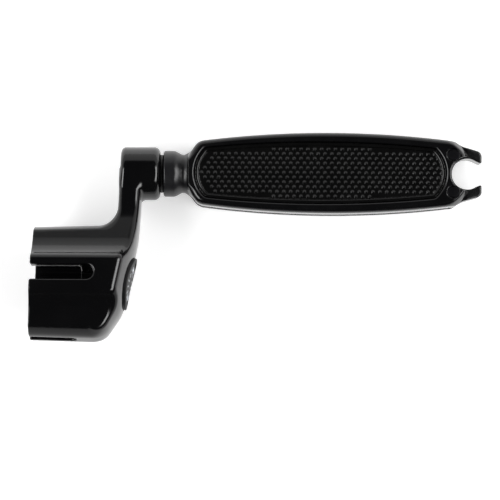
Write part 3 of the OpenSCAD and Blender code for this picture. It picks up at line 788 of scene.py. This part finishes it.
def pad_field(x, y, z):
    body = both(pad_plan(x, y) + seat_gap, z - rim_z, pad_edge_r)
    body = without(body, both(pad_plan(x, y) + rim_w, field_z - z), rim_edge_r)
    return both(body, pad_floor_z + seat_gap - z)


pad_low, pad_high, pad_step = (10, -9.3, 6.2), (86, 9.3, 7.7), 0.3
upper_pad = moulded("upper_grip_rubber", pad_field, pad_low, pad_high, pad_step, handle_place, grip_rubber)
lower_pad = moulded("lower_grip_rubber", pad_field, pad_low, pad_high, pad_step, turned_over, grip_rubber)
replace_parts(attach(upper_pad, "handle"), "upper_grip_pad")
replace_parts(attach(lower_pad, "handle"), "lower_grip_pad")

# %% [markdown]
# The studs sit in staggered rows, eleven of them at the widest place, and the rows get shorter
# towards the pad's ends. Geometry Nodes place them: a block of points in rows, every other row
# moved by half a pitch, points outside the bowed field deleted, and a low cone with a small flat
# top put on each point that is left. A cone has only sixteen sides, because there are hundreds of
# them.

# %% A tree for the studs: points in rows
tree, given = new_tree("staggered_studs", {
    "Columns": "Int", "Rows": "Int", "Pitch": "Float", "Row spacing": "Float", "First": "Float",
    "Height": "Float", "Middle": "Float", "Half width": "Float", "Bow": "Float", "Front": "Float",
    "Front bow": "Float", "Rear": "Float", "Rear bow": "Float", "Stud width": "Float",
    "Stud top": "Float", "Stud height": "Float", "Finish": "Material"})
index = add(tree, "GeometryNodeInputIndex")
row = add(tree, "ShaderNodeMath", {0: index, 1: given["Columns"]}, operation="DIVIDE")
row = add(tree, "ShaderNodeMath", {0: row}, operation="FLOOR")
before = add(tree, "ShaderNodeMath", {0: row, 1: given["Columns"]}, operation="MULTIPLY")
column = add(tree, "ShaderNodeMath", {0: index, 1: before}, operation="SUBTRACT")
odd_row = add(tree, "ShaderNodeMath", {0: row, 1: 2.0}, operation="MODULO")
shift = add(tree, "ShaderNodeMath", {0: odd_row, 1: 0.5}, operation="MULTIPLY")
column = add(tree, "ShaderNodeMath", {0: column, 1: shift}, operation="ADD")
x = add(tree, "ShaderNodeMath", {0: column, 1: given["Pitch"]}, operation="MULTIPLY")
x = add(tree, "ShaderNodeMath", {0: given["First"], 1: x}, operation="ADD")
last_row = add(tree, "ShaderNodeMath", {0: given["Rows"], 1: 1.0}, operation="SUBTRACT")
middle_row = add(tree, "ShaderNodeMath", {0: last_row, 1: 0.5}, operation="MULTIPLY")
y = add(tree, "ShaderNodeMath", {0: row, 1: middle_row}, operation="SUBTRACT")
y = add(tree, "ShaderNodeMath", {0: y, 1: given["Row spacing"]}, operation="MULTIPLY")
place = add(tree, "ShaderNodeCombineXYZ", {"X": x, "Y": y, "Z": given["Height"]})
total = add(tree, "ShaderNodeMath", {0: given["Columns"], 1: given["Rows"]}, operation="MULTIPLY")
points = add(tree, "GeometryNodePoints", {"Count": total, "Position": place})
print("nodes for the rows:", len(tree.nodes))

# %% Points outside the field go
here = add(tree, "GeometryNodeInputPosition")
here = add(tree, "ShaderNodeSeparateXYZ", {0: here}).outputs
from_middle = add(tree, "ShaderNodeMath", {0: here["X"], 1: given["Middle"]}, operation="SUBTRACT")
x_square = add(tree, "ShaderNodeMath", {0: from_middle, 1: 2.0}, operation="POWER")
y_square = add(tree, "ShaderNodeMath", {0: here["Y"], 1: here["Y"]}, operation="MULTIPLY")
narrower = add(tree, "ShaderNodeMath", {0: x_square, 1: given["Bow"]}, operation="MULTIPLY")
room = add(tree, "ShaderNodeMath", {0: given["Half width"], 1: narrower}, operation="SUBTRACT")
wide = add(tree, "ShaderNodeMath", {0: here["Y"]}, operation="ABSOLUTE")
later = add(tree, "ShaderNodeMath", {0: y_square, 1: given["Front bow"]}, operation="MULTIPLY")
first_x = add(tree, "ShaderNodeMath", {0: given["Front"], 1: later}, operation="ADD")
sooner = add(tree, "ShaderNodeMath", {0: y_square, 1: given["Rear bow"]}, operation="MULTIPLY")
last_x = add(tree, "ShaderNodeMath", {0: given["Rear"], 1: sooner}, operation="SUBTRACT")
too_wide = add(tree, "ShaderNodeMath", {0: wide, 1: room}, operation="GREATER_THAN")
too_soon = add(tree, "ShaderNodeMath", {0: here["X"], 1: first_x}, operation="LESS_THAN")
too_late = add(tree, "ShaderNodeMath", {0: here["X"], 1: last_x}, operation="GREATER_THAN")
outside = add(tree, "ShaderNodeMath", {0: too_soon, 1: too_late}, operation="MAXIMUM")
outside = add(tree, "ShaderNodeMath", {0: outside, 1: too_wide}, operation="MAXIMUM")
points = add(tree, "GeometryNodeDeleteGeometry", {"Geometry": points, "Selection": outside})
print("nodes for the rows and the field:", len(tree.nodes))

# %% Studs on both pads
foot_r = add(tree, "ShaderNodeMath", {0: given["Stud width"], 1: 0.5}, operation="MULTIPLY")
top_r = add(tree, "ShaderNodeMath", {0: given["Stud top"], 1: 0.5}, operation="MULTIPLY")
stud = add(tree, "GeometryNodeMeshCone", {
    "Vertices": 16, "Radius Bottom": foot_r, "Radius Top": top_r, "Depth": given["Stud height"]})
studs = add(tree, "GeometryNodeInstanceOnPoints", {"Points": points, "Instance": stud})
studs = add(tree, "GeometryNodeRealizeInstances", {"Geometry": studs})
studs = add(tree, "GeometryNodeSetMaterial", {"Geometry": studs, "Material": given["Finish"]})
add(tree, "NodeGroupOutput", {"Geometry": studs})

stud_sink = 0.05
stud_sizes = {
    "Columns": 37, "Rows": 11, "Pitch": 2.044, "Row spacing": 1.41, "First": 11.36,
    "Height": field_z - stud_sink, "Middle": 48.0, "Half width": 7.37, "Bow": 0.0015,
    "Front": 12.0, "Front bow": 0.13, "Rear": 84.4, "Rear bow": 0.06,
    "Stud width": 1.26, "Stud top": 0.2, "Stud height": 0.34, "Finish": grip_rubber}
for name, placing in (("upper_grip_bumps", handle_place), ("lower_grip_bumps", turned_over)):
    bumps = grown(name, tree, stud_sizes)
    flat = np.array([vertex.co for vertex in bumps.data.vertices])
    bumps.data.vertices.foreach_set("co", placing(flat).ravel())
    bumps.data.update()
    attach(bumps, "handle")

# %% [markdown]
# ## The puller fork
#
# At the free end two prongs stand around an open notch, for pulling out the pegs that hold a
# guitar's strings in its bridge. The fork is a plate between the shells. Its cheeks continue the
# shells' outline, and its prongs get thinner and narrower towards their tips.

# %% The fork
tip_x, tip_r = 96.1, 1.3
prong_half, prong_narrowing, prong_thinning = 7.8, 1.2, 0.8
prong_l = tip_x - notch_x
cheek_inset, cheek_fillet_r = 0.2, 0.6
opening_half, opening_fillet_r = 3.25, 0.8
fork_edge_r = 0.5


def fork_field(x, y, z):
    wide, tall = np.abs(y), np.abs(z)
    turn = math.atan(prong_narrowing / prong_l)
    prong = (x - notch_x) * math.sin(turn) + (wide - prong_half) * math.cos(turn)
    prong = both(prong, x - tip_x, tip_r)
    cheeks = either(prong, handle_plan(x, y) + cheek_inset, cheek_fillet_r)
    cheeks = both(cheeks, fork_shoulder_x - x)
    tail = both(both(wide - fork_tail_half, fork_tail_x - x), x - notch_x)
    drop = math.atan(prong_thinning / prong_l)
    top = both(tall - fork_z, (tall - fork_z) * math.cos(drop) + (x - notch_x) * math.sin(drop))
    body = both(np.minimum(cheeks, tail), top, fork_edge_r)
    opening = both(wide - opening_half, notch_x - x)
    notch = either(np.hypot(x - notch_x, y) - notch_r, opening, opening_fillet_r)
    body = without(body, notch, fork_edge_r)
    return without(body, np.hypot(x - pin_x, wide - pin_y) - pin_r - seat_gap)


fork_low, fork_high, fork_step = (80, -10.2, -5.1), (96.2, 10.2, 5.1), 0.28
fork = moulded("fork_moulding", fork_field, fork_low, fork_high, fork_step, handle_place, fork_nylon)
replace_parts(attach(fork, "handle"), "puller_fork")

# %% [markdown]
# Two steel pins go through both shells and the fork. Their ends are slightly domed and lie just
# below the shells' faces.

# %% The fork's pins
pin_half, pin_dome, pin_edge_r = 8.05, 0.05, 0.3
pin_low, pin_high, pin_step = (85.5, -1.9, -8.1), (89.2, 1.9, 8.1), 0.14


def pin_field(x, y, z):
    r = np.hypot(x - pin_x, y)
    return both(r - pin_r, np.abs(z) - pin_half + pin_dome * r * r / pin_r ** 2, pin_edge_r)


for side, node in ((1, "fork_pin_left"), (-1, "fork_pin_right")):
    pin = moulded(node.replace("fork_", "round_"), pin_field, pin_low, pin_high, pin_step,
                  lambda p: handle_place(p + (0, side * pin_y, 0)), pin_steel)
    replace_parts(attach(pin, "handle"), node)

# %% [markdown]
# ## Steel parts from the model
#
# The axle, its washer and clip, and the three screws are simple turned parts whose shape in the
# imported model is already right. They only get their metals.

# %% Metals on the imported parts
metals = {"axle_pin": zinc_steel, "retainer_washer": zinc_steel, "retaining_clip": spring_steel}
metals.update({f"shell_screw_{place}": zinc_steel for place in ("front", "middle", "rear")})
for name, finish in metals.items():
    part = bpy.data.objects[name]
    part.data.materials.clear()
    part.data.materials.append(finish)
print("metal on", list(metals))

# %% [markdown]
# ## The studio
#
# The winder lies on white paper in a light tent. The tent's back wall is lit, and a soft box
# stands at each side, both turned a little. The front is dark, and so is the roof, where the
# camera looks in. That is why the winder's tops are black while its edges and steep sides shine.
# Lamps would need many tries to place, so the world itself is the tent here: its light depends on
# the direction, and the wall and the boxes are each a product of fades. For the camera itself the
# world is plain white.

# %% The tent
world = bpy.data.worlds.new("light tent")
bpy.context.scene.world = world
world.use_nodes = True
tree = world.node_tree
tree.nodes.clear()
white = colour("#ffffff")
dark, box_turn = 0.045, 0.1
way = add(tree, "ShaderNodeTexCoord").outputs["Generated"]
way = add(tree, "ShaderNodeSeparateXYZ", {0: way}).outputs
across = add(tree, "ShaderNodeMath", {0: way["X"], 1: box_turn}, operation="MULTIPLY")
back = add(tree, "ShaderNodeMath", {0: way["Y"], 1: across}, operation="SUBTRACT")
aside = add(tree, "ShaderNodeMath", {0: way["X"]}, operation="ABSOLUTE")
# A fade runs over a direction, from one place to another, and from one strength to another.
wall_fades = (
    (way["Z"], 0.0, 0.56, 0.9, 0.6),  # dimmer with height
    (way["Z"], 0.52, 0.62, 1.0, 0.0),  # upper edge
    (way["Y"], 0.0, 0.25, 0.0, 1.0))  # only behind
box_fades = (
    (way["Z"], 0.47, 0.52, 0.0, 6.6),  # lower edge, and the strength of the boxes
    (way["Z"], 0.76, 0.80, 1.0, 0.0),  # upper edge
    (way["Y"], -0.60, -0.45, 0.0, 1.0),  # front edge
    (back, 0.28, 0.43, 1.0, 0.0),  # back edge, turned
    (aside, 0.1, 0.2, 0.0, 1.0))  # the gap between the boxes
print("the wall has", len(wall_fades), "fades, the boxes have", len(box_fades))

# %% Its light
light = dark
for fades in (wall_fades, box_fades):
    lamp = 1.0
    for value, start, stop, low, high in fades:
        fade = add(tree, "ShaderNodeMapRange", {
            "Value": value, "From Min": start, "From Max": stop, "To Min": low, "To Max": high})
        lamp = add(tree, "ShaderNodeMath", {0: lamp, 1: fade}, operation="MULTIPLY")
    light = add(tree, "ShaderNodeMath", {0: light, 1: lamp}, operation="ADD")
lit = add(tree, "ShaderNodeBackground", {"Color": white, "Strength": light})
plain_white = add(tree, "ShaderNodeBackground", {"Color": white, "Strength": 1.0})
seen = add(tree, "ShaderNodeLightPath").outputs["Is Camera Ray"]
shown = add(tree, "ShaderNodeMixShader", {0: seen, 1: lit, 2: plain_white})
add(tree, "ShaderNodeOutputWorld", {"Surface": shown})
print("nodes in the tent:", len(tree.nodes))

# %% [markdown]
# The paper is a pale diffuse sheet. Part of its whiteness is a glow that only the camera and
# reflections see, so the paper comes out white without more light on the winder, and the shadow
# that the winder casts is still there. Towards the front of the tent, reflections show the paper as
# a greyer sheet without its glow: this grey is painted shade, standing in for the tent's dark front.

# %% The paper
paper = bpy.data.materials.new("white paper")
paper.use_nodes = True
tree = paper.node_tree
tree.nodes.clear()
paper_glow = 0.48
shade_start, shade_full = -0.02, -0.06
path = add(tree, "ShaderNodeLightPath").outputs
place = add(tree, "ShaderNodeTexCoord").outputs["Object"]
place = add(tree, "ShaderNodeSeparateXYZ", {0: place}).outputs
mirrored = add(tree, "ShaderNodeMath", {
    0: path["Is Glossy Ray"], 1: path["Is Transmission Ray"]}, operation="MAXIMUM")
seen = add(tree, "ShaderNodeMath", {0: path["Is Camera Ray"], 1: mirrored}, operation="MAXIMUM")
glow = add(tree, "ShaderNodeMath", {0: seen, 1: paper_glow}, operation="MULTIPLY")
shine = add(tree, "ShaderNodeEmission", {"Color": white, "Strength": glow})
sheet = add(tree, "ShaderNodeBsdfDiffuse", {"Color": colour("#f0f0f0")})
sheet = add(tree, "ShaderNodeAddShader", {0: sheet, 1: shine})
# Painted shade: a greyer sheet that reflections see in place of the lit paper towards the front.
front = add(tree, "ShaderNodeBsdfDiffuse", {"Color": colour("#b8b8b8")})
shade = add(tree, "ShaderNodeMapRange", {
    "Value": place["Y"], "From Min": shade_full, "From Max": shade_start, "To Min": 1.0, "To Max": 0.0})
in_shade = add(tree, "ShaderNodeMath", {0: mirrored, 1: shade}, operation="MULTIPLY")
shown = add(tree, "ShaderNodeMixShader", {0: in_shade, 1: sheet, 2: front})
add(tree, "ShaderNodeOutputMaterial", {"Surface": shown})

paper_size, paper_z = 6, -0.0001
bpy.ops.mesh.primitive_plane_add(size=paper_size)
floor = bpy.context.object
floor.name = "paper_floor"
floor.location.z = paper_z
floor.data.materials.append(paper)
print("paper at", paper_z, "m")

# %% [markdown]
# ## The camera
#
# The photograph looks almost straight down from a little under a metre. The lens takes in 150 mm
# at the height of the swivel, and the camera leans by a few degrees.

# %% Camera
camera_distance = 862 * MM
camera_lean = math.radians(2.4)
camera_roll = math.radians(0.25)
view_half_w = 75 * MM
aim = Vector((-1.795, -3.73, 8.25)) * MM
lens = bpy.data.cameras.new("camera")
lens.sensor_fit = "HORIZONTAL"
lens.angle = 2 * math.atan(view_half_w / camera_distance)
lens.clip_start = 10 * MM
camera = bpy.data.objects.new("camera", lens)
bpy.context.scene.collection.objects.link(camera)
camera.location = aim + camera_distance * Vector((0, -math.sin(camera_lean), math.cos(camera_lean)))
camera.rotation_euler = (camera_lean, 0, camera_roll)
bpy.context.scene.camera = camera
bpy.context.scene.view_settings.view_transform = "Standard"
print("camera at", [round(c, 3) for c in camera.location])
